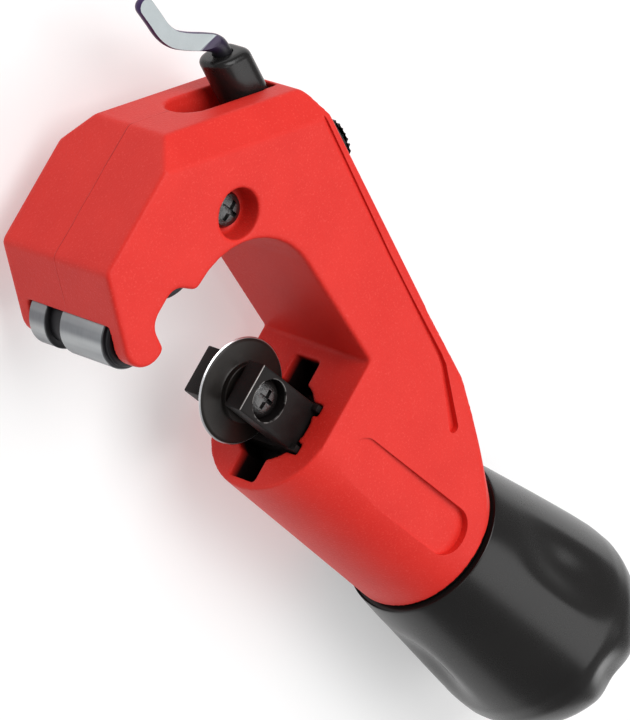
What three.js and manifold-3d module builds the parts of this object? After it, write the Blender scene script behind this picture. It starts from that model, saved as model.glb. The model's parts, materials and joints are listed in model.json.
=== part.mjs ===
// Pipe cutter with a die-cast C frame, two back-up rollers, a wheel carriage that is fed
// by a screw in the handle, and a slide-out deburring blade in the back of the frame.
//
// Working frame of the model, in millimetres: +X runs along the feed spindle from the
// handle to the jaw, +Y points out of the C opening, +Z is the thickness. The spindle axis
// is Y = 0, Z = 0 and X = 0 is the face that the carriage comes out of. The finished group
// is moved at the end, so that its origin is the bottom centre of its bounding box.

import * as THREE from 'three';
import { mergeVertices } from 'three/addons/utils/BufferGeometryUtils.js';
import Module from 'manifold-3d';

// ---------------------------------------------------------------- driving dimensions
const HALF_THICKNESS = 13.7; // of the frame casting
const FRAME_TOP = 62.4; // flat end of the jaw
const FRAME_BOTTOM = -45; // where the handle starts
const NECK_RADIUS = 15; // of the frame at its bottom end
const NECK_TAPER = 0.5; // of the cone that the lower frame is turned to, in radius per X
const BACK_CORNER = [40.9, -45.2]; // top of the back arm, before rounding
const GAP = 0.3; // running and seating clearance
const ORIGIN_SHIFT = [11.6, 12.9, 20]; // puts the origin under the middle of the tool

const ROLLER_RADIUS = 5.6;
const ROLLER_X = 47.7;
const ROLLER_Y = 6.7; // one roller on each side of the spindle axis
const ROLLER_PIN_RADIUS = 2;
const POCKET_HALF_WIDTH = 10.4;

const WHEEL_RADIUS = 9.5;
const WHEEL_X = 10.3;
const WHEEL_Z = -0.2;
const AXLE_RADIUS = 2;

const CARRIAGE_FRONT = 15.4;
const CARRIAGE_BASE = -26;
const SHANK_RADIUS = 7.6;
const SPINDLE_RADIUS = 4.4;
const SPINDLE_END = -74.8;
const NUT_TOP = -39;
const NUT_BOTTOM = -52;

const HANDLE_TOP = -46;
const HANDLE_END = -97;
const HANDLE_RADIUS = 20;
const CAP_RADIUS = 10.2;

const SLIDE_TRAVEL = 25; // of the deburrer
const CHANNEL_DEPTH = 6.2; // centre of the channel below the back of the arm
const SLIDER_HALF_WIDTH = 4.2;
const SLIDER_HALF_HEIGHT = 3.8;
const SLIDER_LENGTH = 36;
const BLADE_RADIUS = 1.6;
const BLADE_LINE = -0.8; // of the blade's round end, off the slider's centre
const MOUTH_HALF_WIDTH = 4.4;
const CLAMP = [-8.7, 18.3]; // screw in the side of the frame, in the channel's frame

const NUT_RADIUS = 9;
const RETAINING_X = -42;
const RETAINING_RADIUS = 1.4;
const PIN_OFFSET = 8.7; // of the retaining pins, into the groove of the nut
const SPINDLE_PIN_X = -14;
const SPINDLE_PIN_RADIUS = 1.5;

// ---------------------------------------------------------------- solids and booleans
const wasm = await Module();
wasm.setup();

function toSolid(geometry) {
  const bare = geometry.index ? geometry.toNonIndexed() : geometry.clone();
  bare.deleteAttribute('normal');
  bare.deleteAttribute('uv');
  const merged = mergeVertices(bare, 1e-5);
  const index = merged.index.array;
  const kept = [];
  for (let i = 0; i < index.length; i += 3) {
    const [a, b, c] = index.slice(i, i + 3);
    if (a !== b && b !== c && c !== a) kept.push(a, b, c);
  }
  return new wasm.Manifold(new wasm.Mesh({
    numProp: 3,
    vertProperties: new Float32Array(merged.attributes.position.array),
    triVerts: new Uint32Array(kept),
  }));
}

function toGeometry(solid) {
  const mesh = solid.getMesh();
  const geometry = new THREE.BufferGeometry();
  geometry.setAttribute('position', new THREE.BufferAttribute(mesh.vertProperties, 3));
  geometry.setIndex(new THREE.BufferAttribute(mesh.triVerts, 1));
  geometry.computeVertexNormals();
  return geometry;
}

const join = (first, ...others) => others.reduce((sum, next) => sum.add(next), first);
const cut = (first, ...others) => others.reduce((rest, next) => rest.subtract(next), first);

// A box between two corners.
function box(low, high) {
  const size = high.map((value, i) => value - low[i]);
  const geometry = new THREE.BoxGeometry(...size);
  geometry.translate(...low.map((value, i) => value + size[i] / 2));
  return toSolid(geometry);
}

// A cylinder with its axis along Z, between two heights.
function pillar(x, y, radius, low, high, sides = 24) {
  const geometry = new THREE.CylinderGeometry(radius, radius, high - low, sides);
  geometry.rotateX(Math.PI / 2);
  geometry.translate(x, y, (low + high) / 2);
  return toSolid(geometry);
}

// A cylinder on the spindle axis, between two X values.
function shaft(radius, low, high, sides = 32) {
  const geometry = new THREE.CylinderGeometry(radius, radius, high - low, sides);
  geometry.rotateZ(-Math.PI / 2);
  geometry.translate((low + high) / 2, 0, 0);
  return toSolid(geometry);
}

// A turned shape from [radius, height] pairs, with its axis along X or Z.
function turned(profile, axis, place, sides = 28) {
  const closing = profile[0][0] === 0 ? [] : [profile[0]]; // a ring closes on itself
  const points = [...profile, ...closing].map((pair) => new THREE.Vector2(...pair));
  const geometry = new THREE.LatheGeometry(points, sides);
  if (axis === 'x') geometry.rotateZ(-Math.PI / 2);
  else geometry.rotateX(Math.PI / 2);
  geometry.translate(...place);
  const solid = toSolid(geometry);
  return solid.volume() < 0 ? turned([...profile].reverse(), axis, place, sides) : solid;
}

// A closed outline whose corners [x, y, radius] are rounded by arcs.
function rounded(corners) {
  const stepAngle = Math.PI / 12;
  const points = corners.flatMap(([x, y, radius], i) => {
    const here = new THREE.Vector2(x, y);
    if (radius === 0) return [here];
    const [before, after] = [corners.length - 1, 1].map((offset) => {
      const [cornerX, cornerY] = corners[(i + offset) % corners.length];
      return new THREE.Vector2(cornerX, cornerY).sub(here).normalize();
    });
    const half = Math.acos(THREE.MathUtils.clamp(before.dot(after), -1, 1)) / 2;
    const middle = before.clone().add(after).normalize();
    const centre = here.clone().addScaledVector(middle, radius / Math.sin(half));
    const sweep = Math.PI - 2 * half;
    const steps = Math.max(2, Math.round(sweep / stepAngle));
    const turn = Math.sign(after.cross(before));
    const from = middle.clone().negate().angle() - (turn * sweep) / 2;
    return Array.from({ length: steps + 1 }, (_, k) => {
      const angle = from + (turn * sweep * k) / steps;
      return new THREE.Vector2(Math.cos(angle), Math.sin(angle)).multiplyScalar(radius).add(centre);
    });
  });
  return new THREE.Shape(points);
}

// A plate of the given outline between two heights, with bevelled rims if asked for.
function plate(shape, low, high, bevel = 0) {
  const geometry = new THREE.ExtrudeGeometry(shape, {
    depth: high - low - 2 * bevel,
    bevelEnabled: bevel > 0,
    bevelThickness: bevel,
    bevelSize: bevel,
    bevelOffset: -bevel,
    bevelSegments: 2,
  });
  geometry.translate(0, 0, low + bevel);
  return toSolid(geometry);
}

// A closed skin over rings that hold equally many points, with a flat fan at each end.
function loft(rings) {
  const count = rings[0].length;
  const positions = rings.flat().flatMap((point) => point.toArray());
  const centre = (ring) => ring.reduce((sum, p) => sum.add(p), new THREE.Vector3())
    .divideScalar(count);
  positions.push(...centre(rings[0]).toArray(), ...centre(rings.at(-1)).toArray());
  const faces = [];
  const first = rings.length * count;
  for (let i = 0; i < count; i += 1) {
    const next = (i + 1) % count;
    for (let r = 0; r + 1 < rings.length; r += 1) {
      const a = r * count;
      const b = a + count;
      faces.push(a + i, b + i, b + next, a + i, b + next, a + next);
    }
    const last = (rings.length - 1) * count;
    faces.push(first, i, next, first + 1, last + next, last + i);
  }
  const geometry = new THREE.BufferGeometry();
  geometry.setAttribute('position', new THREE.Float32BufferAttribute(positions, 3));
  geometry.setIndex(faces);
  const solid = toSolid(geometry);
  if (solid.volume() > 0) return solid;
  geometry.setIndex(faces.toReversed());
  return toSolid(geometry);
}

// ---------------------------------------------------------------- the deburrer's channel
// It runs parallel to the back of the arm. Its own frame has x up the channel, y from the
// back into the arm and z as in the model; its origin is where it meets the slanted facet.
const backRun = new THREE.Vector2(BACK_CORNER[0] - FRAME_BOTTOM, BACK_CORNER[1] + NECK_RADIUS);
const backSlope = backRun.y / backRun.x;
const up = backRun.clone().normalize();
const inward = new THREE.Vector2(-up.y, up.x);
const FACET_OFFSET = 86.1; // x - y on the slanted facet
const channelStart = new THREE.Vector2(...BACK_CORNER).addScaledVector(inward, CHANNEL_DEPTH);
channelStart.addScaledVector(up, (FACET_OFFSET - channelStart.x + channelStart.y) / (up.x - up.y));
const SLIDER_TOP = 6.6; // of the slider above the facet, when the blade is out
const SLIDER_TOP_RISE = 0.28; // of the slider's top, per unit of y
const THUMB_X = -19.5; // centre of the thumb button in the channel's frame
const THUMB_RISE = 5.1;

const backAt = (x) => BACK_CORNER[1] + (x - BACK_CORNER[0]) * backSlope;

const channelMatrix = new THREE.Matrix4().makeBasis(
  new THREE.Vector3(up.x, up.y, 0),
  new THREE.Vector3(inward.x, inward.y, 0),
  new THREE.Vector3(0, 0, 1),
).setPosition(channelStart.x, channelStart.y, 0);

const inChannel = (solid) => toSolid(toGeometry(solid).applyMatrix4(channelMatrix));

// ---------------------------------------------------------------- frame
// Section of the lower frame at a given X: a flat-sided D with a square back.
function neckSection(x) {
  const share = x / FRAME_BOTTOM;
  const half = THREE.MathUtils.lerp(HALF_THICKNESS, NECK_RADIUS, share);
  const backRadius = 1.2;
  const backCentre = backAt(x) + backRadius;
  const arcs = [
    [0, 0, half],
    [backCentre, half - backRadius, backRadius],
    [backCentre, backRadius - half, backRadius],
    [0, 0, half],
  ];
  const steps = 8;
  return arcs.flatMap(([y, z, radius], quarter) => Array.from({ length: steps }, (_, i) => {
    const angle = (quarter + i / (quarter === 3 ? steps : steps - 1)) * (Math.PI / 2);
    return new THREE.Vector3(x, y + radius * Math.cos(angle), z + radius * Math.sin(angle));
  }));
}

// The lower frame, with its back corners turned down to a cone that ends in the neck.
function neck() {
  const stations = 8;
  const coneFoot = NECK_RADIUS + 0.06;
  const coneHead = coneFoot - NECK_TAPER * FRAME_BOTTOM;
  const cone = turned([[0, FRAME_BOTTOM], [coneFoot, FRAME_BOTTOM], [coneHead, 0], [0, 0]],
    'x', [0, 0, 0], 72);
  return cone.intersect(loft(Array.from({ length: stations + 1 }, (_, i) => (
    neckSection((i / stations) * FRAME_BOTTOM)
  ))));
}

// The C: back arm, throat, jaw with its notch, and the bosses round the roller pins.
function openFrame() {
  return plate(rounded([
    [0, -14.8, 1.4],
    [43.2, -26.2, 15],
    [43.3, -5.6, 1.4],
    [48.1, -3.6, 3.2],
    [48.1, 3.6, 3.2],
    [43.3, 5.6, 1.2],
    [43.3, 14.95, 4.4],
    [FRAME_TOP, 1.9, 1.6],
    [FRAME_TOP, FRAME_TOP - FACET_OFFSET, 1.5],
    [...BACK_CORNER, 2.2],
    [-6, backAt(-6), 0],
    [-6, -16, 0],
  ]), -HALF_THICKNESS, HALF_THICKNESS, 0.8);
}

// Everything beyond the plane that bevels one long edge of the slanted facet.
function beyondBevel(side) {
  const inset = 4.6; // of the bevel on the side face
  const drop = 4.9; // of the bevel on the facet
  const normal = new THREE.Vector3(drop, -drop, side * inset * Math.SQRT2).normalize();
  const geometry = new THREE.BoxGeometry(120, 120, 40);
  geometry.translate(0, 0, 20);
  geometry.applyQuaternion(
    new THREE.Quaternion().setFromUnitVectors(new THREE.Vector3(0, 0, 1), normal),
  );
  geometry.translate(FACET_OFFSET / 2, -FACET_OFFSET / 2, side * (HALF_THICKNESS - drop));
  return toSolid(geometry);
}

function rollerPocket() {
  const wall = ROLLER_Y + ROLLER_RADIUS + GAP;
  return join(
    box([40, -wall, -POCKET_HALF_WIDTH], [ROLLER_X + 5.8, 30, POCKET_HALF_WIDTH]),
    ...[-ROLLER_Y, ROLLER_Y].map((y) => (
      pillar(ROLLER_X, y, ROLLER_PIN_RADIUS + GAP, -HALF_THICKNESS - 2, HALF_THICKNESS - 1.1)
    )),
  );
}

// The guide for the carriage, the slot that swallows the wheel, and the nut's seat.
function carriageBore() {
  const bottom = NUT_TOP + 0.4;
  return join(
    shaft(SHANK_RADIUS + GAP, bottom - 1, 5),
    box([bottom, 2.7, -8.8], [5, 4.9, 8.8]),
    box([bottom, -4.9, -8.8], [5, -2.7, 8.8]),
    box([-12.2, -12, -3.4], [5, 12, 2.8]),
    shaft(NUT_RADIUS + GAP, FRAME_BOTTOM - 1, bottom),
    ...[-PIN_OFFSET, PIN_OFFSET].map((y) => (
      pillar(RETAINING_X, y, RETAINING_RADIUS + GAP, -20, 6.5, 16)
    )),
  );
}

// Channel of the deburrer, mouth that its cranked blade drops into, slot for the thumb
// button, shelf for the leaf spring, and the screw's counterbore.
function deburrerChannel() {
  const floor = -SLIDER_LENGTH - SLIDE_TRAVEL - 1;
  const reach = SLIDER_HALF_WIDTH + GAP;
  const half = SLIDER_HALF_HEIGHT + GAP;
  const mouth = rounded([[14, -2, 0], [14, 13.2, 0], [-9, 13.2, 2], [-17, 4, 2], [-17, -2, 0]]);
  const shelf = rounded([[-12, 21.6, 2.9], [-5.4, 21.6, 2.9], [-6, -3.4, 1], [-11.4, -3.4, 1]]);
  return inChannel(join(
    box([floor, -reach, -half], [14, reach, half]),
    plate(mouth, -MOUTH_HALF_WIDTH, MOUTH_HALF_WIDTH),
    plate(shelf, 4, 6.1),
    box([THUMB_X - SLIDE_TRAVEL - 5.5, -9, -2.4], [THUMB_X + 5.5, -4, 2.4]),
    pillar(...CLAMP, 4.4, 9, 20),
    pillar(...CLAMP, 1.9, -5.5, 10, 16),
  ));
}

function frameCasting() {
  return cut(
    join(openFrame(), neck()),
    beyondBevel(1),
    beyondBevel(-1),
    rollerPocket(),
    carriageBore(),
    deburrerChannel(),
  );
}

// ---------------------------------------------------------------- jaw rollers
function roller(y) {
  const end = POCKET_HALF_WIDTH - 0.4;
  const bore = ROLLER_PIN_RADIUS + GAP;
  return turned([
    [bore, -end], [ROLLER_RADIUS - 0.5, -end], [ROLLER_RADIUS, -end + 0.5],
    [ROLLER_RADIUS, -6], [ROLLER_RADIUS - 1.5, -5.3], [ROLLER_RADIUS - 1.5, -2.5],
    [ROLLER_RADIUS, -1.8], [ROLLER_RADIUS, end - 1], [ROLLER_RADIUS - 0.7, end - 1],
    [ROLLER_RADIUS - 0.7, end], [bore, end],
  ], 'z', [ROLLER_X, y, 0]);
}

const rollerPin = (y) => pillar(ROLLER_X, y, ROLLER_PIN_RADIUS, 0.5 - HALF_THICKNESS, 12.2, 20);

// ---------------------------------------------------------------- carriage and wheel
// The four cuts of a cross recess in a screw head that faces +Z.
const crossRecess = (x, y, top, depth, span) => join(
  box([x - span, y - 0.4, top - depth], [x + span, y + 0.4, top + 1]),
  box([x - 0.4, y - span, top - depth], [x + 0.4, y + span, top + 1]),
);

function panHead(x, y, radius, seat, top) {
  return turned([
    [0, seat], [radius, seat], [radius, top - 0.7], [radius * 0.7, top - 0.15], [0, top],
  ], 'z', [x, y, 0]);
}

function carriage() {
  const blank = join(
    shaft(SHANK_RADIUS, CARRIAGE_BASE, -1),
    box([CARRIAGE_BASE, 3.3, -8.5], [0.8, 4.6, 8.5]),
    box([CARRIAGE_BASE, -4.6, -8.5], [0.8, -3.3, 8.5]),
    box([-3, -4.5, -7.3], [CARRIAGE_FRONT, 4.5, 7.2]),
  );
  return cut(
    blank,
    box([WHEEL_X - WHEEL_RADIUS - 1.5, -10, -3.6], [20, 10, 3.4]),
    pillar(WHEEL_X, 0, AXLE_RADIUS + GAP, -10, 10),
    pillar(WHEEL_X, 0, 3.7, 5.6, 10),
    shaft(SPINDLE_RADIUS + GAP, CARRIAGE_BASE - 1, -9.6),
    pillar(SPINDLE_PIN_X, 0, SPINDLE_PIN_RADIUS + GAP, -10, 10, 16),
  );
}

// A cutting wheel on the Z axis at the origin: a thin sharpened disc with a stepped hub.
const WHEEL_PROFILE = [
  [AXLE_RADIUS + GAP, -2.9], [4.4, -2.9], [4.4, -1], [8.7, -0.6], [WHEEL_RADIUS, 0],
  [8.7, 0.6], [5.4, 1], [5.4, 2.1], [3.8, 2.1], [3.8, 2.9], [AXLE_RADIUS + GAP, 2.9],
];

const cuttingWheel = () => turned(WHEEL_PROFILE, 'z', [WHEEL_X, 0, WHEEL_Z], 36);

function wheelAxleScrew() {
  const head = panHead(WHEEL_X, 0, 3.4, 5.9, 7.1);
  return cut(
    join(head, pillar(WHEEL_X, 0, AXLE_RADIUS, -7.1, 6.3, 20)),
    crossRecess(WHEEL_X, 0, 7.1, 0.9, 2),
  );
}

// ---------------------------------------------------------------- feed screw
const STOP_GROOVE = -73.4; // the ring that stops the spindle in the nut sits above this

const spindle = () => cut(
  turned([
    [0, SPINDLE_END], [SPINDLE_RADIUS - 0.8, SPINDLE_END], [SPINDLE_RADIUS, SPINDLE_END + 0.8],
    [SPINDLE_RADIUS, STOP_GROOVE], [SPINDLE_RADIUS - 0.9, STOP_GROOVE],
    [SPINDLE_RADIUS - 0.9, STOP_GROOVE + 1.3], [SPINDLE_RADIUS, STOP_GROOVE + 1.3],
    [SPINDLE_RADIUS, -10], [0, -10],
  ], 'x', [0, 0, 0]),
  pillar(SPINDLE_PIN_X, 0, SPINDLE_PIN_RADIUS + GAP, -10, 10, 16),
);

const spindlePin = () => pillar(SPINDLE_PIN_X, 0, SPINDLE_PIN_RADIUS, -6.4, 6.4, 16);

const stopRing = () => turned([
  [SPINDLE_RADIUS - 0.6, STOP_GROOVE + 0.2], [5.5, STOP_GROOVE + 0.2],
  [5.5, STOP_GROOVE + 1.1], [SPINDLE_RADIUS - 0.6, STOP_GROOVE + 1.1],
], 'x', [0, 0, 0]);

// Its upper half is the journal that turns in the frame, its lower half sits in the handle.
const spindleNut = () => turned([
  [SPINDLE_RADIUS + GAP, NUT_BOTTOM], [NUT_RADIUS, NUT_BOTTOM],
  [NUT_RADIUS, RETAINING_X - 1.8], [6.9, RETAINING_X - 1.8], [6.9, RETAINING_X + 1.8],
  [NUT_RADIUS, RETAINING_X + 1.8], [NUT_RADIUS, NUT_TOP - 0.5], [NUT_RADIUS - 0.5, NUT_TOP],
  [SPINDLE_RADIUS + GAP, NUT_TOP],
], 'x', [0, 0, 0]);

const retainingPin = (y) => pillar(RETAINING_X, y, RETAINING_RADIUS, -11.6, 6.2, 16);

const thrustWasher = () => turned([
  [NUT_RADIUS + 0.6, -46.2], [14, -46.2], [14, -45.4], [NUT_RADIUS + 0.6, -45.4],
], 'x', [0, 0, 0]);

// ---------------------------------------------------------------- handle
const SIDE_FLUTE = 115; // degrees from +Y towards +Z, first of three
const END_FLUTE = 55;

const bump = (u) => (Math.abs(u) < 1 ? (Math.cos(Math.PI * u) + 1) / 2 : 0);

// How far an angle is from the nearest of three flutes, in degrees.
const fromFlute = (degrees, first) => {
  const turn = THREE.MathUtils.euclideanModulo(degrees - first, 120);
  return Math.min(turn, 120 - turn);
};

function handleRing(x, radius) {
  const count = 36;
  const side = 2.6 * bump((x + 68) / 17);
  const end = 2.4 * bump((x + 90) / 10);
  return Array.from({ length: count }, (_, i) => {
    const degrees = (i * 360) / count;
    const r = radius - side * bump(fromFlute(degrees, SIDE_FLUTE) / 24)
      - end * bump(fromFlute(degrees, END_FLUTE) / 20);
    const angle = THREE.MathUtils.degToRad(degrees);
    return new THREE.Vector3(x, r * Math.cos(angle), r * Math.sin(angle));
  });
}

function handleKnob() {
  const outline = new THREE.SplineCurve([
    [HANDLE_TOP, 15.7], [-46.6, 16.3], [-56, 17.3], [-68, 18.7], [-78, 19.8],
    [-84, HANDLE_RADIUS], [-90, 18.2], [-94.5, 15.2], [HANDLE_END, 12.2],
  ].map((pair) => new THREE.Vector2(...pair)));
  const skin = loft(outline.getPoints(18).map(({ x, y }) => (
    handleRing(Math.min(x, HANDLE_TOP), Math.min(y, HANDLE_RADIUS))
  )));
  return cut(
    skin,
    shaft(14.3, -46.5, -40),
    shaft(NUT_RADIUS + GAP, NUT_BOTTOM - GAP, -40),
    shaft(5.8, -90, -40),
    shaft(CAP_RADIUS - 0.2, HANDLE_END - 5, -88.2),
  );
}

// The red cap closes the spare-wheel store; the wheel rides on its stem.
const endCap = () => turned([
  [0, HANDLE_END], [CAP_RADIUS - 1.2, HANDLE_END], [CAP_RADIUS - 0.5, HANDLE_END + 0.7],
  [CAP_RADIUS - 0.5, HANDLE_END + 2.3], [AXLE_RADIUS, HANDLE_END + 2.3],
  [AXLE_RADIUS, HANDLE_END + 7], [0, HANDLE_END + 7],
], 'x', [0, 0, 0]);

const spareWheel = () => turned(WHEEL_PROFILE, 'x', [HANDLE_END + 5.6, 0, 0]);

// ---------------------------------------------------------------- deburrer
const BLADE_PIN_X = -4;
const BLADE_PIN_Y = BLADE_LINE + 2.1; // it lies in a groove round the blade

function deburrSlider() {
  const top = (y) => SLIDER_TOP + SLIDER_TOP_RISE * y;
  const body = plate(rounded([
    [-SLIDER_LENGTH, -SLIDER_HALF_WIDTH, 1.4],
    [top(-SLIDER_HALF_WIDTH), -SLIDER_HALF_WIDTH, 1.6],
    [top(SLIDER_HALF_WIDTH), SLIDER_HALF_WIDTH, 2.6],
    [-SLIDER_LENGTH, SLIDER_HALF_WIDTH, 1.4],
  ]), -SLIDER_HALF_HEIGHT, SLIDER_HALF_HEIGHT, 1.3);
  const socket = new THREE.CylinderGeometry(1.8, 1.8, 4, 16);
  socket.translate(THUMB_X, -SLIDER_HALF_WIDTH + 1.5, 0);
  return inChannel(cut(
    body,
    turned([
      [0, -9.3], [BLADE_RADIUS + GAP, -9.3], [BLADE_RADIUS + GAP, 20], [0, 20],
    ], 'x', [0, BLADE_LINE, 0], 20),
    pillar(BLADE_PIN_X, BLADE_PIN_Y, 1.1, -6, 6, 12),
    toSolid(socket),
  ));
}

// A round bar bent into the crank of a deburring blade, its outer half ground flat.
function deburrBlade() {
  const path = new THREE.CatmullRomCurve3([
    [-9, BLADE_LINE], [-3, BLADE_LINE], [3, BLADE_LINE], [7.6, BLADE_LINE], [9.6, -0.3],
    [11.6, 1.6], [14, 4.3], [16.4, 6.5], [19, 7.6], [22, 8], [26.4, 8.6],
  ].map(([x, y]) => new THREE.Vector3(x, y, 0)));
  const section = new THREE.Shape();
  section.absarc(0, 0, BLADE_RADIUS, 0, Math.PI * 2);
  const bar = toSolid(new THREE.ExtrudeGeometry(section, {
    steps: 26, curveSegments: 10, bevelEnabled: false, extrudePath: path,
  }));
  const groove = turned([
    [1, -1.2], [2.5, -1.2], [2.5, 1.2], [1, 1.2],
  ], 'x', [BLADE_PIN_X, BLADE_LINE, 0], 16);
  return inChannel(cut(bar, groove, box([10.6, -5, 0.7], [40, 15, 4])));
}

const bladePin = () => inChannel(pillar(BLADE_PIN_X, BLADE_PIN_Y, 0.8, -3.5, 3.5, 12));

function thumbButton() {
  const back = -CHANNEL_DEPTH - GAP;
  const cap = plate(rounded([
    [THUMB_X - 6.6, back, 1], [THUMB_X + 6.6, back, 1],
    [THUMB_X + 3.4, back - THUMB_RISE, 4], [THUMB_X - 3.4, back - THUMB_RISE, 4],
  ]), -4.6, 4.6, 0.8);
  const web = box([THUMB_X - 4.8, back - 1, -2.1], [THUMB_X + 4.8, -SLIDER_HALF_WIDTH - GAP, 2.1]);
  const stem = new THREE.CylinderGeometry(1.5, 1.5, 4, 16);
  stem.translate(THUMB_X, -SLIDER_HALF_WIDTH + 0.4, 0);
  return inChannel(join(cap, web, toSolid(stem)));
}

// Leaf spring on the screw, pressing on the side of the slider.
function detentSpring() {
  const leaf = rounded([
    [-11.5, 21.1, 2.6], [-5.9, 21.1, 2.6], [-6.9, -2.7, 1.4], [-10.5, -2.7, 1.4],
  ]);
  return inChannel(cut(plate(leaf, 4.5, 5.1), pillar(...CLAMP, 1.9, 0, 9, 16)));
}

function clampScrew() {
  const screw = join(
    panHead(CLAMP[0], CLAMP[1], 3.1, 9.3, 11.4),
    pillar(...CLAMP, 1.6, -5, 9.6, 16),
  );
  return inChannel(cut(screw, crossRecess(CLAMP[0], CLAMP[1], 11.4, 1.2, 1.9)));
}

// ---------------------------------------------------------------- the assembled tool
const FINISHES = {
  red_paint: { color: 0xd9261e, roughness: 0.45, metalness: 0 },
  red_plastic: { color: 0xc22a2a, roughness: 0.35, metalness: 0 },
  black_plastic: { color: 0x1a191b, roughness: 0.2, metalness: 0 },
  black_oxide: { color: 0x141416, roughness: 0.4, metalness: 0.6 },
  ground_steel: { color: 0xb9bcc0, roughness: 0.25, metalness: 1 },
  wheel_steel: { color: 0x3a3a3d, roughness: 0.3, metalness: 1 },
  spring_steel: { color: 0x8d9196, roughness: 0.35, metalness: 1 },
  blade_steel: { color: 0x5a4a68, roughness: 0.3, metalness: 1 },
  brass: { color: 0xb5913f, roughness: 0.35, metalness: 1 },
};

const PIECES = [
  ['frame_casting', frameCasting(), 'red_paint'],
  ['roller_front', roller(ROLLER_Y), 'ground_steel'],
  ['roller_rear', roller(-ROLLER_Y), 'ground_steel'],
  ['roller_pin_front', rollerPin(ROLLER_Y), 'spring_steel'],
  ['roller_pin_rear', rollerPin(-ROLLER_Y), 'spring_steel'],
  ['carriage', carriage(), 'black_oxide'],
  ['cutting_wheel', cuttingWheel(), 'wheel_steel'],
  ['wheel_axle_screw', wheelAxleScrew(), 'black_oxide'],
  ['feed_spindle', spindle(), 'spring_steel'],
  ['spindle_pin', spindlePin(), 'spring_steel'],
  ['spindle_stop_ring', stopRing(), 'spring_steel'],
  ['spindle_nut', spindleNut(), 'brass'],
  ['nut_retaining_pin_front', retainingPin(PIN_OFFSET), 'spring_steel'],
  ['nut_retaining_pin_rear', retainingPin(-PIN_OFFSET), 'spring_steel'],
  ['thrust_washer', thrustWasher(), 'black_oxide'],
  ['handle_knob', handleKnob(), 'black_plastic'],
  ['end_cap', endCap(), 'red_plastic'],
  ['spare_wheel', spareWheel(), 'wheel_steel'],
  ['deburr_slider', deburrSlider(), 'black_plastic'],
  ['deburr_blade', deburrBlade(), 'blade_steel'],
  ['blade_pin', bladePin(), 'spring_steel'],
  ['thumb_button', thumbButton(), 'black_plastic'],
  ['detent_spring', detentSpring(), 'spring_steel'],
  ['clamp_screw', clampScrew(), 'black_oxide'],
];

const tool = new THREE.Group();
for (const [name, solid, finish] of PIECES) {
  const mesh = new THREE.Mesh(toGeometry(solid), new THREE.MeshStandardMaterial(FINISHES[finish]));
  mesh.name = name;
  tool.add(mesh);
}
tool.position.set(...ORIGIN_SHIFT);
tool.updateMatrixWorld(true);

export default tool;
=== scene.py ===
import json
import math
import bpy
from mathutils import Matrix, Vector


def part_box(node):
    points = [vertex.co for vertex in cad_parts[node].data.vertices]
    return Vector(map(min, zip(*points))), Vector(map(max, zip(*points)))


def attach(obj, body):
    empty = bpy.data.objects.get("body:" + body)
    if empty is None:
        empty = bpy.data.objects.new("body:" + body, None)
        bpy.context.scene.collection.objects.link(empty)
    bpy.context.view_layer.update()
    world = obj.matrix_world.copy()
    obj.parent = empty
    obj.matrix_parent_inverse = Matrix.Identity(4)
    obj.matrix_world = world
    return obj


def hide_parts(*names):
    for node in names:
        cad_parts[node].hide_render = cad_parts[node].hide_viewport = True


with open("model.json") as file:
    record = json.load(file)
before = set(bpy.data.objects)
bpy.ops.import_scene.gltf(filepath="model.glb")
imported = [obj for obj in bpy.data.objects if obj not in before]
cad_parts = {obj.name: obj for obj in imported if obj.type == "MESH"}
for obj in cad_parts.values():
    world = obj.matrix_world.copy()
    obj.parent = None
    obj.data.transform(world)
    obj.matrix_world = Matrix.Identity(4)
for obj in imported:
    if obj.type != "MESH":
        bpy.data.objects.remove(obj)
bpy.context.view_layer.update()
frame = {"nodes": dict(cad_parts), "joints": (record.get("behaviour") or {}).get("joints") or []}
print("frame loaded")

mm = 0.001
joints = {joint["name"]: joint for joint in frame["joints"]}

# The tool's own axes: x along the spindle from the face that the carriage comes out of,
# y out of the C, z through the thickness, all in millimetres.
spindleAxis = Vector(joints["knob_turn"]["pos_m"])
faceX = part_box("frame_casting")[0].x + 45 * mm
alongX = Vector((1, 0, 0))
alongZ = Vector((0, 0, 1))

# The deburrer's channel: h up the channel, l from the back into the arm.
channelUp = -Vector(joints["deburrer_slide"]["axis"]).normalized()
channelIn = Vector((-channelUp.y, channelUp.x, 0))
bladeLine = -0.8  # l of the blade's round end
channelStart = Vector(joints["blade_swivel"]["pos_m"]) - channelIn * bladeLine * mm


def at(x, y, z=0.0):
    return Vector((faceX + x * mm, spindleAxis.y + y * mm, spindleAxis.z + z * mm))


def inChannel(h, l, z=0.0):
    return channelStart + channelUp * h * mm + channelIn * l * mm + alongZ * z * mm


def middle(node):
    low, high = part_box(node)
    return (low + high) / 2


# Camera

cameraSettings = {
    "place": (595.86, 139.74, 605.19),  # in the tool's own axes
    "forward": (-0.69155, -0.17608, -0.70054),
    "right": (-0.56204, -0.47803, 0.67500),
    "lens": 250,
}


def addCamera():
    forward = Vector(cameraSettings["forward"]).normalized()
    right = Vector(cameraSettings["right"])
    right = (right - forward * right.dot(forward)).normalized()
    turn = Matrix((right, right.cross(forward), -forward)).transposed().to_4x4()
    bpy.ops.object.camera_add()
    camera = bpy.context.object
    camera.matrix_world = Matrix.Translation(at(*cameraSettings["place"])) @ turn
    camera.data.lens = cameraSettings["lens"]
    camera.data.clip_start = 0.01
    bpy.context.scene.camera = camera


addCamera()
print("camera placed")


# Modelling helpers


def deselectAll():
    if bpy.context.mode != "OBJECT":
        bpy.ops.object.mode_set(mode="OBJECT")
    bpy.ops.object.select_all(action="DESELECT")


def takeUp(piece):
    deselectAll()
    bpy.context.view_layer.objects.active = piece
    piece.select_set(True)


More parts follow.
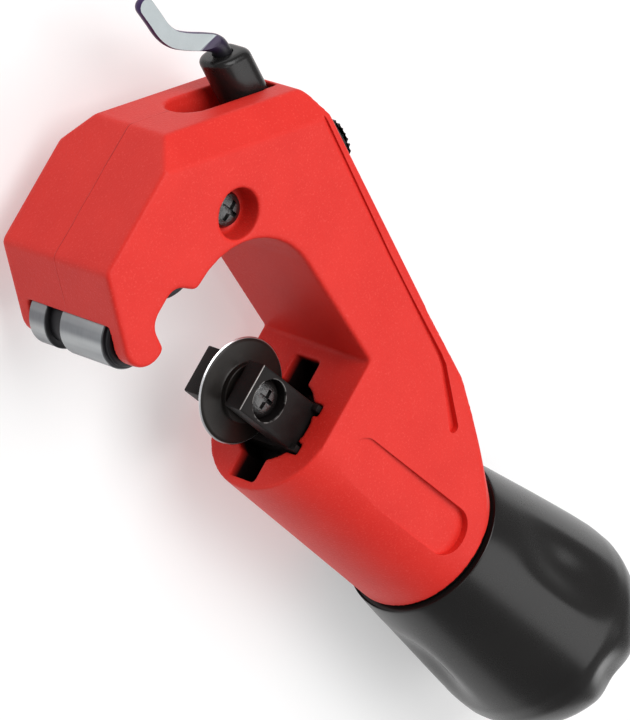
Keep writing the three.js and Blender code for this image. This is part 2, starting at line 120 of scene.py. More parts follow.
def applyModifier(piece, kind, **settings):
    takeUp(piece)
    modifier = piece.modifiers.new(kind.lower(), kind)
    for name, value in settings.items():
        setattr(modifier, name, value)
    bpy.ops.object.modifier_apply(modifier=modifier.name)


def drawChain(name, points):
    deselectAll()
    bpy.ops.mesh.primitive_plane_add(size=mm)
    piece = bpy.context.object
    piece.name = piece.data.name = name
    bpy.ops.object.mode_set(mode="EDIT")
    bpy.ops.mesh.select_all(action="SELECT")
    bpy.ops.mesh.merge(type="CENTER")
    bpy.ops.transform.translate(value=points[0])
    for here, there in zip(points, points[1:]):
        bpy.ops.mesh.extrude_vertices_move(TRANSFORM_OT_translate={"value": there - here})
    bpy.ops.mesh.select_all(action="SELECT")
    return piece


def tidyNormals():
    bpy.ops.mesh.select_all(action="SELECT")
    bpy.ops.mesh.remove_doubles(threshold=0.002 * mm)
    bpy.ops.mesh.normals_make_consistent(inside=False)
    bpy.ops.object.mode_set(mode="OBJECT")


# A solid with a drawn outline, pulled along a vector.
def prism(name, points, pull):
    piece = drawChain(name, points)
    bpy.ops.mesh.edge_face_add()
    bpy.ops.mesh.extrude_region_move(TRANSFORM_OT_translate={"value": pull})
    tidyNormals()
    return piece


# A solid of revolution from (height along the axis, radius) pairs in millimetres.
def turned(name, profile, origin, axis=alongX, steps=96):
    side = alongZ if axis == alongX else axis.orthogonal().normalized()
    closing = [] if profile[0][1] == 0 else [profile[0]]
    points = [origin + axis * h * mm + side * r * mm for h, r in [*profile, *closing]]
    piece = drawChain(name, points)
    bpy.ops.mesh.spin(steps=steps, angle=2 * math.pi, center=origin, axis=axis)
    tidyNormals()
    return piece


def block(name, low, high):
    deselectAll()
    bpy.ops.mesh.primitive_cube_add(size=1, location=(low + high) / 2, scale=high - low)
    piece = bpy.context.object
    piece.name = piece.data.name = name
    bpy.ops.object.transform_apply(location=True, rotation=True, scale=True)
    return piece


def rod(name, start, end, radius, sides=48):
    deselectAll()
    run = end - start
    bpy.ops.mesh.primitive_cylinder_add(
        vertices=sides, radius=radius * mm, depth=run.length, location=(start + end) / 2,
        rotation=run.to_track_quat("Z", "Y").to_euler())
    piece = bpy.context.object
    piece.name = piece.data.name = name
    bpy.ops.object.transform_apply(location=True, rotation=True, scale=True)
    return piece


def combine(piece, other, operation):
    applyModifier(piece, "BOOLEAN", operation=operation, solver="EXACT", object=other)
    bpy.data.objects.remove(other)


def carve(piece, *cutters):
    for cutter in cutters:
        combine(piece, cutter, "DIFFERENCE")


def fuse(piece, *others):
    for other in others:
        combine(piece, other, "UNION")


def bevelEdges(piece, chosen, width, segments=3):
    takeUp(piece)
    bpy.ops.object.mode_set(mode="EDIT")
    bpy.ops.mesh.select_mode(type="EDGE")
    bpy.ops.mesh.select_all(action="DESELECT")
    bpy.ops.object.mode_set(mode="OBJECT")
    for edge in piece.data.edges:
        edge.select = chosen(*(piece.data.vertices[i].co for i in edge.vertices))
    bpy.ops.object.mode_set(mode="EDIT")
    bpy.ops.mesh.bevel(offset=width * mm, segments=segments, affect="EDGES")
    bpy.ops.mesh.select_mode(type="VERT")
    bpy.ops.object.mode_set(mode="OBJECT")


# Moves every point of a piece by a rule.
def reshape(piece, rule):
    for vertex in piece.data.vertices:
        vertex.co = rule(vertex.co)


# A rounded outline from (x, y, radius) corners in millimetres.
def roundedCorners(corners, arcStep=10):
    points = []
    for i, (x, y, radius) in enumerate(corners):
        here = Vector((x, y))
        if radius == 0:
            points.append(here)
            continue
        before = (Vector(corners[i - 1][:2]) - here).normalized()
        after = (Vector(corners[(i + 1) % len(corners)][:2]) - here).normalized()
        half = before.angle(after) / 2
        inward = (before + after).normalized()
        centre = here + inward * radius / math.sin(half)
        sweep = math.pi - 2 * half
        steps = max(2, round(math.degrees(sweep) / arcStep))
        turn = math.copysign(1, after.x * before.y - after.y * before.x)
        first = math.atan2(-inward.y, -inward.x) - turn * sweep / 2
        for k in range(steps + 1):
            angle = first + turn * sweep * k / steps
            points.append(centre + Vector((math.cos(angle), math.sin(angle))) * radius)
    return points


# A smooth run of points through a few given ones.
def smoothRun(points, steps):
    path = [Vector(point) for point in points]
    path = [2 * path[0] - path[1], *path, 2 * path[-1] - path[-2]]
    run = []
    for a, b, c, d in zip(path, path[1:], path[2:], path[3:]):
        for k in range(steps):
            t = k / steps
            run.append(((2 * b) + (c - a) * t + (2 * a - 5 * b + 4 * c - d) * t * t
                        + (3 * b - a - 3 * c + d) * t ** 3) / 2)
    return [*run, path[-2]]


def finishPiece(piece, body, material, nodes=(), angle=32):
    takeUp(piece)
    bpy.ops.object.shade_smooth_by_angle(angle=math.radians(angle))
    piece.data.materials.clear()
    piece.data.materials.append(material)
    if nodes:
        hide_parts(*nodes)
    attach(piece, body)
    deselectAll()


# Materials


class Wire:  # a node's output, so that shader maths reads as a sum
    def __init__(self, finish, output):
        self.finish = finish
        self.output = output

    def maths(self, operation, *values):
        numbers = dict(enumerate(values))
        return self.finish.node("ShaderNodeMath", {"operation": operation}, numbers)

    def __add__(self, other):
        return self.maths("ADD", self, other)

    def __sub__(self, other):
        return self.maths("SUBTRACT", self, other)

    def __rsub__(self, other):
        return self.maths("SUBTRACT", other, self)

    def __mul__(self, other):
        return self.maths("MULTIPLY", self, other)

    __radd__ = __add__
    __rmul__ = __mul__


class Finish:
    def __init__(self, name):
        self.material = bpy.data.materials.new(name)
        self.material.use_nodes = True
        self.tree = self.material.node_tree
        self.tree.nodes.clear()
        self.place = self.node("ShaderNodeTexCoord", output="Object")

    def node(self, kind, settings=None, values=None, output=0):
        made = self.tree.nodes.new(kind)
        for name, value in (settings or {}).items():
            setattr(made, name, value)
        for name, value in (values or {}).items():
            if isinstance(value, Wire):
                self.tree.links.new(value.output, made.inputs[name])
            else:
                made.inputs[name].default_value = value
        return Wire(self, made.outputs[output]) if made.outputs else None

    def noise(self, size, detail=2.0, stretch=(1, 1, 1)):
        placed = self.node("ShaderNodeMapping", None, {"Vector": self.place, "Scale": stretch})
        values = {"Vector": placed, "Scale": 1 / (size * mm), "Detail": detail}
        return self.node("ShaderNodeTexNoise", None, values)

    # How far a point is past an edge, from 0 to 1 over a soft width.
    def step(self, value, edge, width):
        values = {"Value": value, "From Min": edge - width / 2, "From Max": edge + width / 2}
        return self.node("ShaderNodeMapRange", None, values)

    def mix(self, first, second, share):
        settings = {"data_type": "RGBA"}
        values = {0: share, 6: (*first, 1) if isinstance(first, tuple) else first,
                  7: (*second, 1) if isinstance(second, tuple) else second}
        return self.node("ShaderNodeMix", settings, values, output=2)

    def coordinate(self, name, origin=(0, 0, 0)):
        values = {"Vector": self.place, "Location": tuple(-value for value in origin)}
        placed = self.node("ShaderNodeMapping", None, values)
        return self.node("ShaderNodeSeparateXYZ", None, {"Vector": placed}, output=name)

    # Distance from an axis along Z or X through a point.
    def fromAxis(self, origin, acrossOne, acrossTwo):
        one = self.coordinate(acrossOne, origin)
        two = self.coordinate(acrossTwo, origin)
        squares = one * one + two * two
        return squares.maths("SQRT", squares)

    def surface(self, height=None, depth=0.05, **values):
        sockets = {name.replace("_", " "): value for name, value in values.items()}
        if height is not None:
            bump = {"Height": height, "Distance": depth * mm, "Strength": 1.0}
            sockets["Normal"] = self.node("ShaderNodeBump", None, bump)
        shader = self.node("ShaderNodeBsdfPrincipled", None, sockets)
        self.node("ShaderNodeOutputMaterial", None, {"Surface": shader})
        return self.material


paint = {
    # speck: lighter pinkish red for painted glints on the paint's grain
    "dark": (0.64, 0.020, 0.014), "bright": (0.74, 0.032, 0.022), "speck": (0.86, 0.11, 0.09),
    # bore: near-black painted shade inside the spindle bore, its notches, wheel slot and nut seat
    "bore": (0.010, 0.004, 0.004), "shadedBoreRadius": 12.9, "shadedBoreTop": -1.2,
    "flash": (0.42, 0.012, 0.010), "flashFrom": 55, "flashHeight": 0.25, "flashWander": 0.5,
    "flashHalf": 0.1,
}


# Cast grain under the paint, with lighter specks as painted glints, a near-black painted shade
# inside the bore, and a parting line over the jaw's tip.
def redPaint():
    finish = Finish("red paint")
    cloud = finish.noise(9, 3)
    grain = finish.noise(0.42, 3)
    fine = finish.noise(0.16, 1)
    # Painted glints: lighter specks over the paint grain.
    speck = finish.step(finish.noise(0.32, 1), 0.66, 0.12)
    colour = finish.mix(paint["dark"], paint["bright"], cloud)
    colour = finish.mix(colour, paint["speck"], speck * 0.25)
    along = finish.coordinate("X", at(0, 0))
    clearOfBoreShade = finish.step(finish.fromAxis(at(0, 0), "Y", "Z"), paint["shadedBoreRadius"] * mm, 0.3 * mm)
    above = finish.step(along, paint["shadedBoreTop"] * mm, 1.8 * mm)
    # Painted shade: near-black inside the bore's radius, below its top.
    colour = finish.mix(paint["bore"], colour, clearOfBoreShade.maths("MAXIMUM", clearOfBoreShade, above))
    wander = finish.noise(6, 2) * (paint["flashWander"] * mm)
    aside = finish.coordinate("Z", at(0, 0, paint["flashHeight"])) + wander
    aside = aside.maths("ABSOLUTE", aside)
    flash = 1 - finish.step(aside, paint["flashHalf"] * mm, 0.1 * mm)
    flash = flash * finish.step(along, paint["flashFrom"] * mm, 1 * mm)
    colour = finish.mix(colour, paint["flash"], flash * finish.step(cloud, 0.5, 0.3))
    return finish.surface(
        Base_Color=colour, Roughness=0.4 + grain * 0.14, Specular_IOR_Level=0.22,
        height=grain * 0.7 + fine * 0.3 + flash * 0.8, depth=0.085)


def redPlastic():
    finish = Finish("red plastic")
    cloud = finish.noise(3, 2)
    colour = finish.mix((0.5, 0.015, 0.025), (0.6, 0.025, 0.035), cloud)
    return finish.surface(Base_Color=colour, Roughness=0.28 + cloud * 0.1,
                          height=finish.noise(0.4, 2), depth=0.01)


def blackPlastic():
    finish = Finish("black plastic")
    cloud = finish.noise(14, 3)
    speck = finish.noise(0.5, 2)
    colour = finish.mix((0.007, 0.0065, 0.0065), (0.012, 0.0112, 0.0108), cloud)
    return finish.surface(Base_Color=colour, Roughness=0.2 + cloud * 0.1 + speck * 0.04,
                          Specular_IOR_Level=0.34, height=finish.noise(1.4, 2), depth=0.006)


def blackOxide(name="black oxide", gloss=0.3, sheen=0.25, pits=0.03):
    finish = Finish(name)
    cloud = finish.noise(2.4, 4)
    speck = finish.noise(0.25, 3)
    colour = finish.mix((0.004, 0.0035, 0.0035), (0.013, 0.0105, 0.010), cloud)
    return finish.surface(Base_Color=colour, Roughness=gloss + cloud * 0.2,
                          Specular_IOR_Level=sheen, height=speck, depth=pits)


# Black oxide with painted highlights: a bright line along the front edge of the near cheek and a
# bright ring round its recess.
def carriageOxideWithHighlights():
    finish = Finish("carriage oxide with painted highlights")
    cloud = finish.noise(2.4, 4)
    speck = finish.noise(0.25, 3)
    past = finish.coordinate("X", at(carriage["front"], 0))
    above = finish.coordinate("Z", at(0, 0, carriage["headHigh"]))
    highlightWidth, sink = carriage["highlightWidth"], carriage["sink"]
    frontEdgeHighlight = finish.step(past, -highlightWidth * mm, 0.08 * mm)
    frontEdgeHighlight = frontEdgeHighlight * finish.step(above, -highlightWidth * mm, 0.08 * mm)
    radius = finish.fromAxis(at(wheel["x"], 0), "X", "Y")
    sinkRimHighlight = finish.step(radius, (sink - 0.1) * mm, 0.1 * mm)
    sinkRimHighlight = sinkRimHighlight - finish.step(radius, (sink + 0.14) * mm, 0.1 * mm)
    sinkRimHighlight = sinkRimHighlight * finish.step(above, -0.3 * mm, 0.1 * mm)
    # Painted highlight, mixed in as bright steel along the cheek's front edge and round the recess
    # rim.
    paintedHighlight = frontEdgeHighlight * (0.25 + cloud * 0.9) + sinkRimHighlight * finish.step(cloud, 0.52, 0.08) * 0.25
    colour = finish.mix((0.004, 0.0035, 0.0035), (0.014, 0.011, 0.0105), cloud)
    colour = finish.mix(colour, (0.62, 0.60, 0.58), paintedHighlight)
    return finish.surface(Base_Color=colour, Roughness=0.32 + cloud * 0.2, Metallic=paintedHighlight * 0.5,
                          Specular_IOR_Level=0.14, height=speck, depth=0.035)


def steel(name, dark, bright, roughness, stretch=(1, 1, 1)):
    finish = Finish(name)
    streak = finish.noise(0.35, 3, stretch)
    cloud = finish.noise(2.5, 3)
    colour = finish.mix(dark, bright, streak * 0.6 + cloud * 0.4)
    return finish.surface(Base_Color=colour, Roughness=roughness + streak * 0.12, Metallic=1.0,
                          height=streak, depth=0.006)


# Blackened wheel with a bright ground edge.
def wheelSteel(name, centre, axes):
    finish = Finish(name)
    radius = finish.fromAxis(centre, *axes)
    ground = finish.step(radius, wheel["groundFrom"] * mm, 0.12 * mm)
    rings = finish.node("ShaderNodeTexNoise", {"noise_dimensions": "1D"},
                        {"W": radius, "Scale": 1 / (0.11 * mm), "Detail": 2.0})
    cloud = finish.noise(1.6, 4)
    dark = finish.mix((0.008, 0.007, 0.006), (0.022, 0.018, 0.016), cloud * 0.6 + rings * 0.4)
    colour = finish.mix(dark, (0.86, 0.86, 0.88), ground)
    return finish.surface(Base_Color=colour, Roughness=0.3 + rings * 0.12 - ground * 0.06,
                          Metallic=0.25 + ground * 0.75, Specular_IOR_Level=0.3,
                          height=rings, depth=0.004)


# Hardened bar, black at the shank, purple and blue further out, ground bright on its flat.
def bladeSteel():
    finish = Finish("blade steel")
    turn = {"Vector": finish.place, "Location": tuple(channelStart),
            "Rotation": (0, 0, math.atan2(channelUp.y, channelUp.x))}
    turned = finish.node("ShaderNodeMapping", {"vector_type": "TEXTURE"}, turn)
    height = finish.node("ShaderNodeSeparateXYZ", None, {"Vector": turned}, output="X")
    outer = finish.step(height, 11 * mm, 6 * mm)
    normal = finish.node("ShaderNodeNewGeometry", output="Normal")
    facing = finish.node("ShaderNodeSeparateXYZ", None, {"Vector": normal}, output="Z")
    depth = finish.coordinate("Z", channelStart)
    ground = finish.step(facing, 0.95, 0.03) * (1 - finish.step(depth, 1.3 * mm, 0.02 * mm))
    cloud = finish.noise(2, 3)
    scratch = finish.noise(0.12, 2)
    temper = finish.mix((0.012, 0.011, 0.014), (0.05, 0.022, 0.10), outer * (0.6 + cloud * 0.5))
    bright = finish.mix((0.33, 0.37, 0.38), (0.46, 0.50, 0.51), cloud * 0.5 + scratch * 0.5)
    colour = finish.mix(temper, bright, ground)
    return finish.surface(Base_Color=colour, Roughness=0.36 + ground * 0.1,
                          Metallic=outer * 0.3 + ground * 0.6, Specular_IOR_Level=0.3,
                          height=scratch, depth=0.006)


# Ground roller: bright rim with painted reflection bands along its axis, a black groove, and black
# ends painted as the shade in the gap beside the cheeks.
def rollerSteel(name):
    finish = Finish(name)
    z = finish.coordinate("Z", spindleAxis)
    grind = finish.noise(0.9, 3, (0.25, 0.25, 9))
    cloud = finish.noise(2.2, 3)
    # Painted reflection: light and dark bands along the roller's axis.
    reflectionBands = finish.step(finish.noise(3.2, 1.5, (1, 1, 0.04)), 0.5, 0.3)
    bright = finish.mix((0.03, 0.035, 0.05), (0.44, 0.455, 0.46),
                        reflectionBands * 0.72 + grind * 0.16 + cloud * 0.12)
    inGroove = finish.step(z, (roller["grooveLow"] - 0.05) * mm, 0.15 * mm)
    inGroove = inGroove - finish.step(z, (roller["grooveHigh"] + 0.02) * mm, 0.15 * mm)
    # Painted shade: the end collars go black for the shade in the gap beside the cheeks.
    shadedEnd = finish.step(z, (roller["end"] - roller["collar"] - 0.05) * mm, 0.1 * mm)
    black = inGroove.maths("MAXIMUM", inGroove, shadedEnd)
    colour = finish.mix(bright, (0.014, 0.013, 0.016), black)
    return finish.surface(Base_Color=colour, Roughness=0.26 + grind * 0.14 + black * 0.1,
                          Metallic=1 - black * 0.5, height=grind, depth=0.008)


# Frame casting

casting = {
    "halfThickness": 13.7, "top": 62.4, "bottom": -45, "neckRadius": 15, "neckTaper": 0.5,
    "neckStep": 0.06, "backRound": 1.2, "backCorner": (40.9, -45.2), "backEnd": -6,
    "facetOffset": 86.1, "bevelInset": 4.6, "bevelDrop": 4.9, "rimRound": 0.7,
    "voxel": 0.36, "smoothing": 3, "keep": 0.42,
    "pocketHalfWidth": 10.4, "pocketFloor": 40, "pocketTop": 53.5, "rollerSide": 6.7,
    "rollerX": 47.7, "rollerRadius": 5.6, "rollerGap": 0.3, "rollerPin": 2.3,
    "rollerPinEnds": (-15.7, 12.6), "bore": 7.9, "boreBottom": -38.6, "nutSeat": 9.3,
    "wheelSlot": 12, "wheelSlotDepth": -12.2, "wheelSlotSides": (-3.4, 2.8),
    "notchReach": 8.8, "notchInner": 2.7, "notchOuter": 4.9, "pinOffset": 8.7, "pinX": -42,
    "pinHole": 1.7, "pinEnds": (-20, 6.5),
}
channel = {
    "top": 14, "floor": -62, "back": -4.8, "front": 3.8, "halfHeight": 4.1, "thumbX": -20,
    "travel": 25, "slotHalf": 2.4, "slotEnd": 5.5, "slotBack": -9, "slotFront": -4,
    "clamp": (-8.7, 18.3), "clampSink": 4.4, "clampFloor": 9, "clampHole": 1.9, "clampSeat": 9.2,
    "spring": [(-12, 21.6, 2.9), (-5.4, 21.6, 2.9), (-6, -3.4, 1), (-11.4, -3.4, 1)],
    "springSides": (4, 6.1),
}
border = {"depth": 0.45, "line": [(39.5, -43, 0.9), (8.85, -31.4, 0.9), (-13.6, -23.5, 1),
                                  (-15.6, -22.5, 1.2), (-25, -15, 2.1)]}
pad = {"high": -5.5, "low": -40.5, "side": 4.7, "otherSide": -4.4, "corner": 4.2, "depth": 0.22}


def backAt(x):
    cornerX, cornerY = casting["backCorner"]
    slope = (cornerY + casting["neckRadius"]) / (cornerX - casting["bottom"])
    return cornerY + (x - cornerX) * slope


# Distance from the spindle axis to the neck's skin, at a height and an angle from +y.
def neckReach(x, angle):
    share = min(1, max(0, x / casting["bottom"]))
    half = casting["halfThickness"] + share * (casting["neckRadius"] - casting["halfThickness"])
    corner = casting["backRound"]
    cone = casting["neckRadius"] + casting["neckStep"]
    cone += casting["neckTaper"] * (x - casting["bottom"])
    across, aside = math.cos(angle), abs(math.sin(angle))
    if across >= 0:
        return half
    back = backAt(x)
    if aside > 0 and half / aside * across >= back + corner:
        return min(cone, half / aside)
    if back / across * aside <= half - corner:
        return min(cone, back / across)
    centre = Vector((back + corner, half - corner))
    along = centre.dot(Vector((across, aside)))
    return min(cone, along + math.sqrt(max(0, along ** 2 - centre.length_squared + corner ** 2)))


def neck():
    stations = 36
    piece = rod("neck", at(casting["bottom"], 0), at(0, 0), 14, sides=240)
    takeUp(piece)
    bpy.ops.object.mode_set(mode="EDIT")
    for i in range(1, stations):
        bpy.ops.mesh.select_all(action="SELECT")
        cut = at(casting["bottom"] * i / stations, 0)
        bpy.ops.mesh.bisect(plane_co=cut, plane_no=alongX)
    bpy.ops.object.mode_set(mode="OBJECT")
    axis = at(0, 0)

    def bulge(point):
        offset = (point - axis) / mm
        angle = math.atan2(offset.z, offset.y)
        reach = neckReach(offset.x, angle)
        return at(offset.x, reach * math.cos(angle), reach * math.sin(angle))

    reshape(piece, bulge)
    return piece


def openFrame():
    half = casting["halfThickness"]
    top = casting["top"]
    points = roundedCorners([
        (0, -14.8, 1.4), (43.2, -26.2, 15), (43.3, -5.6, 1.4), (48.1, -3.6, 3.2),
        (48.1, 3.6, 3.2), (43.3, 5.6, 1.2), (43.3, 14.95, 4.4), (top, 1.9, 1.6),
        (top, top - casting["facetOffset"], 1.5), (*casting["backCorner"], 2.2),
        (casting["backEnd"], backAt(casting["backEnd"]), 0), (casting["backEnd"], -16, 0),
    ])
    piece = prism("frameCasting", [at(*point, -half) for point in points], 2 * half * mm * alongZ)
    low, high = at(0, 0, -half).z, at(0, 0, half).z

    def onRim(a, b):
        return abs(a.z - b.z) < 1e-6 and (abs(a.z - low) < 1e-6 or abs(a.z - high) < 1e-6)

    bevelEdges(piece, onRim, casting["rimRound"])
    return piece


# Slants one long edge of the jaw's back facet.
def slantFacet(piece, side):
    drop, inset = casting["bevelDrop"], casting["bevelInset"]
    edge = casting["facetOffset"] / 2
    takeUp(piece)
    bpy.ops.object.mode_set(mode="EDIT")
    bpy.ops.mesh.select_all(action="SELECT")
    bpy.ops.mesh.bisect(
        plane_co=at(edge, -edge, side * (casting["halfThickness"] - drop)),
        plane_no=Vector((drop, -drop, side * inset * math.sqrt(2))).normalized(),
        clear_outer=True, use_fill=True)
    bpy.ops.object.mode_set(mode="OBJECT")


def cutRollerPocket(piece):
    wide = casting["pocketHalfWidth"]
    wall = casting["rollerSide"] + casting["rollerRadius"] + casting["rollerGap"]
    low, high = at(casting["pocketFloor"], -wall, -wide), at(casting["pocketTop"], 30, wide)
    carve(piece, block("pocket", low, high))
    for y in (-casting["rollerSide"], casting["rollerSide"]):
        ends = [at(casting["rollerX"], y, z) for z in casting["rollerPinEnds"]]
        carve(piece, rod("pinHole", *ends, casting["rollerPin"]))


def cutCarriageBore(piece):
    bottom = casting["boreBottom"]
    inner, outer, reach = casting["notchInner"], casting["notchOuter"], casting["notchReach"]
    slot, depth = casting["wheelSlot"], casting["wheelSlotDepth"]
    slotLow, slotHigh = casting["wheelSlotSides"]
    carve(
        piece,
        rod("bore", at(bottom - 1, 0), at(5, 0), casting["bore"], 96),
        block("notch", at(bottom, inner, -reach), at(5, outer, reach)),
        block("notch", at(bottom, -outer, -reach), at(5, -inner, reach)),
        block("wheelSlot", at(depth, -slot, slotLow), at(5, slot, slotHigh)),
        rod("nutSeat", at(casting["bottom"] - 1, 0), at(bottom, 0), casting["nutSeat"], 96),
    )
    for y in (-casting["pinOffset"], casting["pinOffset"]):
        ends = [at(casting["pinX"], y, z) for z in casting["pinEnds"]]
        carve(piece, rod("retainingHole", *ends, casting["pinHole"]))


def cutChannel(piece):
    back, front, deep = channel["back"], channel["front"], channel["halfHeight"]
    slotHalf, slotBack, slotFront = channel["slotHalf"], channel["slotBack"], channel["slotFront"]
    slotTop = channel["thumbX"] + channel["slotEnd"]
    slotLow = channel["thumbX"] - channel["travel"] - channel["slotEnd"]

    def area(corners, low, high):
        points = [inChannel(*point, low) for point in roundedCorners(corners)]
        return prism("area", points, (high - low) * mm * alongZ)

    top, floor = channel["top"], channel["floor"]
    carve(
        piece,
        area([(top, back, 0), (top, front, 0), (floor, front, 0), (floor, back, 0)], -deep, deep),
        mouthCutter(),
        area(channel["spring"], *channel["springSides"]),
        area([(slotTop, slotBack, 0), (slotTop, slotFront, 0),
              (slotLow, slotFront, 0), (slotLow, slotBack, 0)], -slotHalf, slotHalf),
    )
    h, l = channel["clamp"]
    carve(
        piece,
        rod("sink", inChannel(h, l, channel["clampFloor"]), inChannel(h, l, 20),
            channel["clampSink"], 72),
        rod("hole", inChannel(h, l, -5.5), inChannel(h, l, 10), channel["clampHole"]),
    )


# The opening in the facet that the cranked blade drops into, with a round front end.
mouth = {"reach": 13.2, "half": 4.4, "floor": -17, "shallow": -9, "top": 14, "back": -2,
         "endFlat": 0.25, "rampTo": 4}


def mouthCutter():
    half, reach, low, back = mouth["half"], mouth["reach"], mouth["shallow"], mouth["back"]
    corners = Vector((low, back, -half)) * mm, Vector((mouth["top"], reach, half)) * mm
    piece = block("mouth", *corners)

    def atFrontEnd(a, b):
        return min(a.y, b.y) > (reach - 1) * mm and abs(a.z - b.z) < 1e-6

    bevelEdges(piece, atFrontEnd, half - mouth["endFlat"], 8)
    placeInChannel(piece)
    points = [(low + 1, back), (low + 1, reach - 3), (mouth["floor"], mouth["rampTo"]),
              (mouth["floor"], back)]
    ramp = prism("ramp", [inChannel(*point, 0.1 - half) for point in points],
                 2 * (half - 0.1) * mm * alongZ)
    fuse(piece, ramp)
    return piece


def placeInChannel(piece):
    turn = Matrix((channelUp, channelIn, alongZ)).transposed().to_4x4()
    piece.data.transform(Matrix.Translation(channelStart) @ turn)


# A shallow groove along the back edge of a side face, wider and round at its lower end.
def borderCutter(side):
    path = [Vector(point) for point in border["line"]]
    left, right = [], []
    for i, point in enumerate(path):
        ahead = (path[min(i + 1, len(path) - 1)] - path[max(i - 1, 0)]).to_2d().normalized()
        across = Vector((-ahead.y, ahead.x)) * point.z / 2
        left.append(point.to_2d() + across)
        right.append(point.to_2d() - across)
        if i == len(path) - 1:
            end = [point.to_2d() + across * math.cos(t) + ahead * point.z / 2 * math.sin(t)
                   for t in (math.pi * k / 12 for k in range(1, 12))]
    floor = casting["halfThickness"] - border["depth"]
    points = [at(*point, side * floor) for point in [*left, *end, *reversed(right)]]
    return prism("border", points, side * 3 * mm * alongZ)


# A shallow blank field with round corners on each side face.
def padCutter(side):
    corner = pad["corner"]
    points = roundedCorners([
        (pad["high"], pad["side"], corner), (pad["low"], pad["side"], corner),
        (pad["low"], pad["otherSide"], corner), (pad["high"], pad["otherSide"], corner)])
    floor = side * (casting["halfThickness"] - pad["depth"])
    return prism("pad", [at(*point, floor) for point in points], side * 4 * mm * alongZ)


def buildCasting():
    piece = openFrame()
    fuse(piece, neck())
    slantFacet(piece, 1)
    slantFacet(piece, -1)
    cutRollerPocket(piece)
    cutCarriageBore(piece)
    cutChannel(piece)
    applyModifier(piece, "REMESH", mode="VOXEL", voxel_size=casting["voxel"] * mm)
    applyModifier(piece, "SMOOTH", factor=0.5, iterations=casting["smoothing"])
    applyModifier(piece, "DECIMATE", decimate_type="COLLAPSE", ratio=casting["keep"])
    for side in (1, -1):
        carve(piece, borderCutter(side), padCutter(side))
    return piece


finishPiece(buildCasting(), "frame", redPaint(), ["frame_casting"], angle=60)


# Handle with its cap

handle = {
    "end": -97, "radius": 20, "sideFlute": 115, "endFlute": 81,
    "sideDepth": 1.9, "sideMiddle": -67, "sideReach": 16, "sideHalf": 22,
    "endDepth": 2.4, "endMiddle": -90, "endReach": 10, "endHalf": 22, "flutedFrom": 12,
    "outline": [(-46, 15.2), (-46.1, 15.6), (-46.5, 15.95), (-56, 17.2), (-68, 18.7),
                (-78, 19.8), (-84, 20), (-90, 18.3), (-94.5, 15.2), (-96.6, 12.4)],
    "bore": [(-97, 11.4), (-97, 10.4), (-96.7, 10.1), (-88.2, 10), (-88.2, 5.8),
             (-52.3, 5.8), (-52.3, 9.3), (-46.5, 9.3), (-46.5, 14.3), (-46, 14.4)],
}
# (height over the handle's end, radius)
capProfile = [(0.5, 0), (0.5, 3), (0.1, 3.3), (0.1, 6.4), (0.5, 6.7), (0.5, 7.6), (0, 7.9),
              (0, 8.8), (0.25, 9.4), (0.8, 9.6), (2.3, 9.6), (2.3, 2), (7, 2), (7, 0)]


def hump(u):
    return (math.cos(math.pi * u) + 1) / 2 if abs(u) < 1 else 0


def fluteDepth(x, angle):
    def away(first):
        turn = (math.degrees(angle) - first) % 120
        return min(turn, 120 - turn)

    side = hump((x - handle["sideMiddle"]) / handle["sideReach"])
    end = hump((x - handle["endMiddle"]) / handle["endReach"])
    return (handle["sideDepth"] * side * hump(away(handle["sideFlute"]) / handle["sideHalf"])
            + handle["endDepth"] * end * hump(away(handle["endFlute"]) / handle["endHalf"]))


def buildHandle():
    outer = [(x, min(r, handle["radius"])) for x, r in smoothRun(handle["outline"], 7)]
    piece = turned("handleKnob", [*outer, *handle["bore"]], at(0, 0), steps=180)
    axis = at(0, 0)

    def flute(point):
        offset = (point - axis) / mm
        reach = math.hypot(offset.y, offset.z)
        if reach < handle["flutedFrom"]:
            return point
        angle = math.atan2(offset.z, offset.y)
        reach -= fluteDepth(offset.x, angle)
        return at(offset.x, reach * math.cos(angle), reach * math.sin(angle))

    reshape(piece, flute)
    return piece


def buildCap():
    return turned("endCap", [(handle["end"] + h, r) for h, r in capProfile], at(0, 0))


black = blackPlastic()
finishPiece(buildHandle(), "handle", black, ["handle_knob"], angle=50)
finishPiece(buildCap(), "cap", redPlastic(), ["end_cap"])
print("handle built")


# Rollers

roller = {"radius": 5.6, "end": 10, "collar": 1, "grooveLow": -5.7, "grooveHigh": -1.8,
          "grooveDepth": 1.1, "bore": 2.3, "chamfer": 0.35}


def buildRoller(name, node):
    r, end, bore = roller["radius"], roller["end"], roller["bore"]
    low, high, chamfer = roller["grooveLow"], roller["grooveHigh"], roller["chamfer"]
    inner = r - roller["grooveDepth"]
    collar = end - roller["collar"]
    profile = [(-end, bore), (-end, r - chamfer), (chamfer - end, r), (low - 0.12, r),
               (low, r - 0.15), (low + 0.15, inner), (high - 0.15, inner), (high, r - 0.15),
               (high + 0.12, r), (collar - 0.2, r), (collar, r - 0.2), (collar + 0.05, r - 0.6),
               (end - 0.3, r - 0.6), (end, r - 0.9), (end, bore)]
    centre = middle(node)
    return turned(name, profile, Vector((centre.x, centre.y, spindleAxis.z)), alongZ, 128)


for side in ("front", "rear"):
    piece = buildRoller(f"{side}Roller", f"roller_{side}")
    finish = rollerSteel(f"{side} roller steel")
    finishPiece(piece, f"{side}_roller", finish, [f"roller_{side}"])
print("rollers built")


# Carriage and wheel

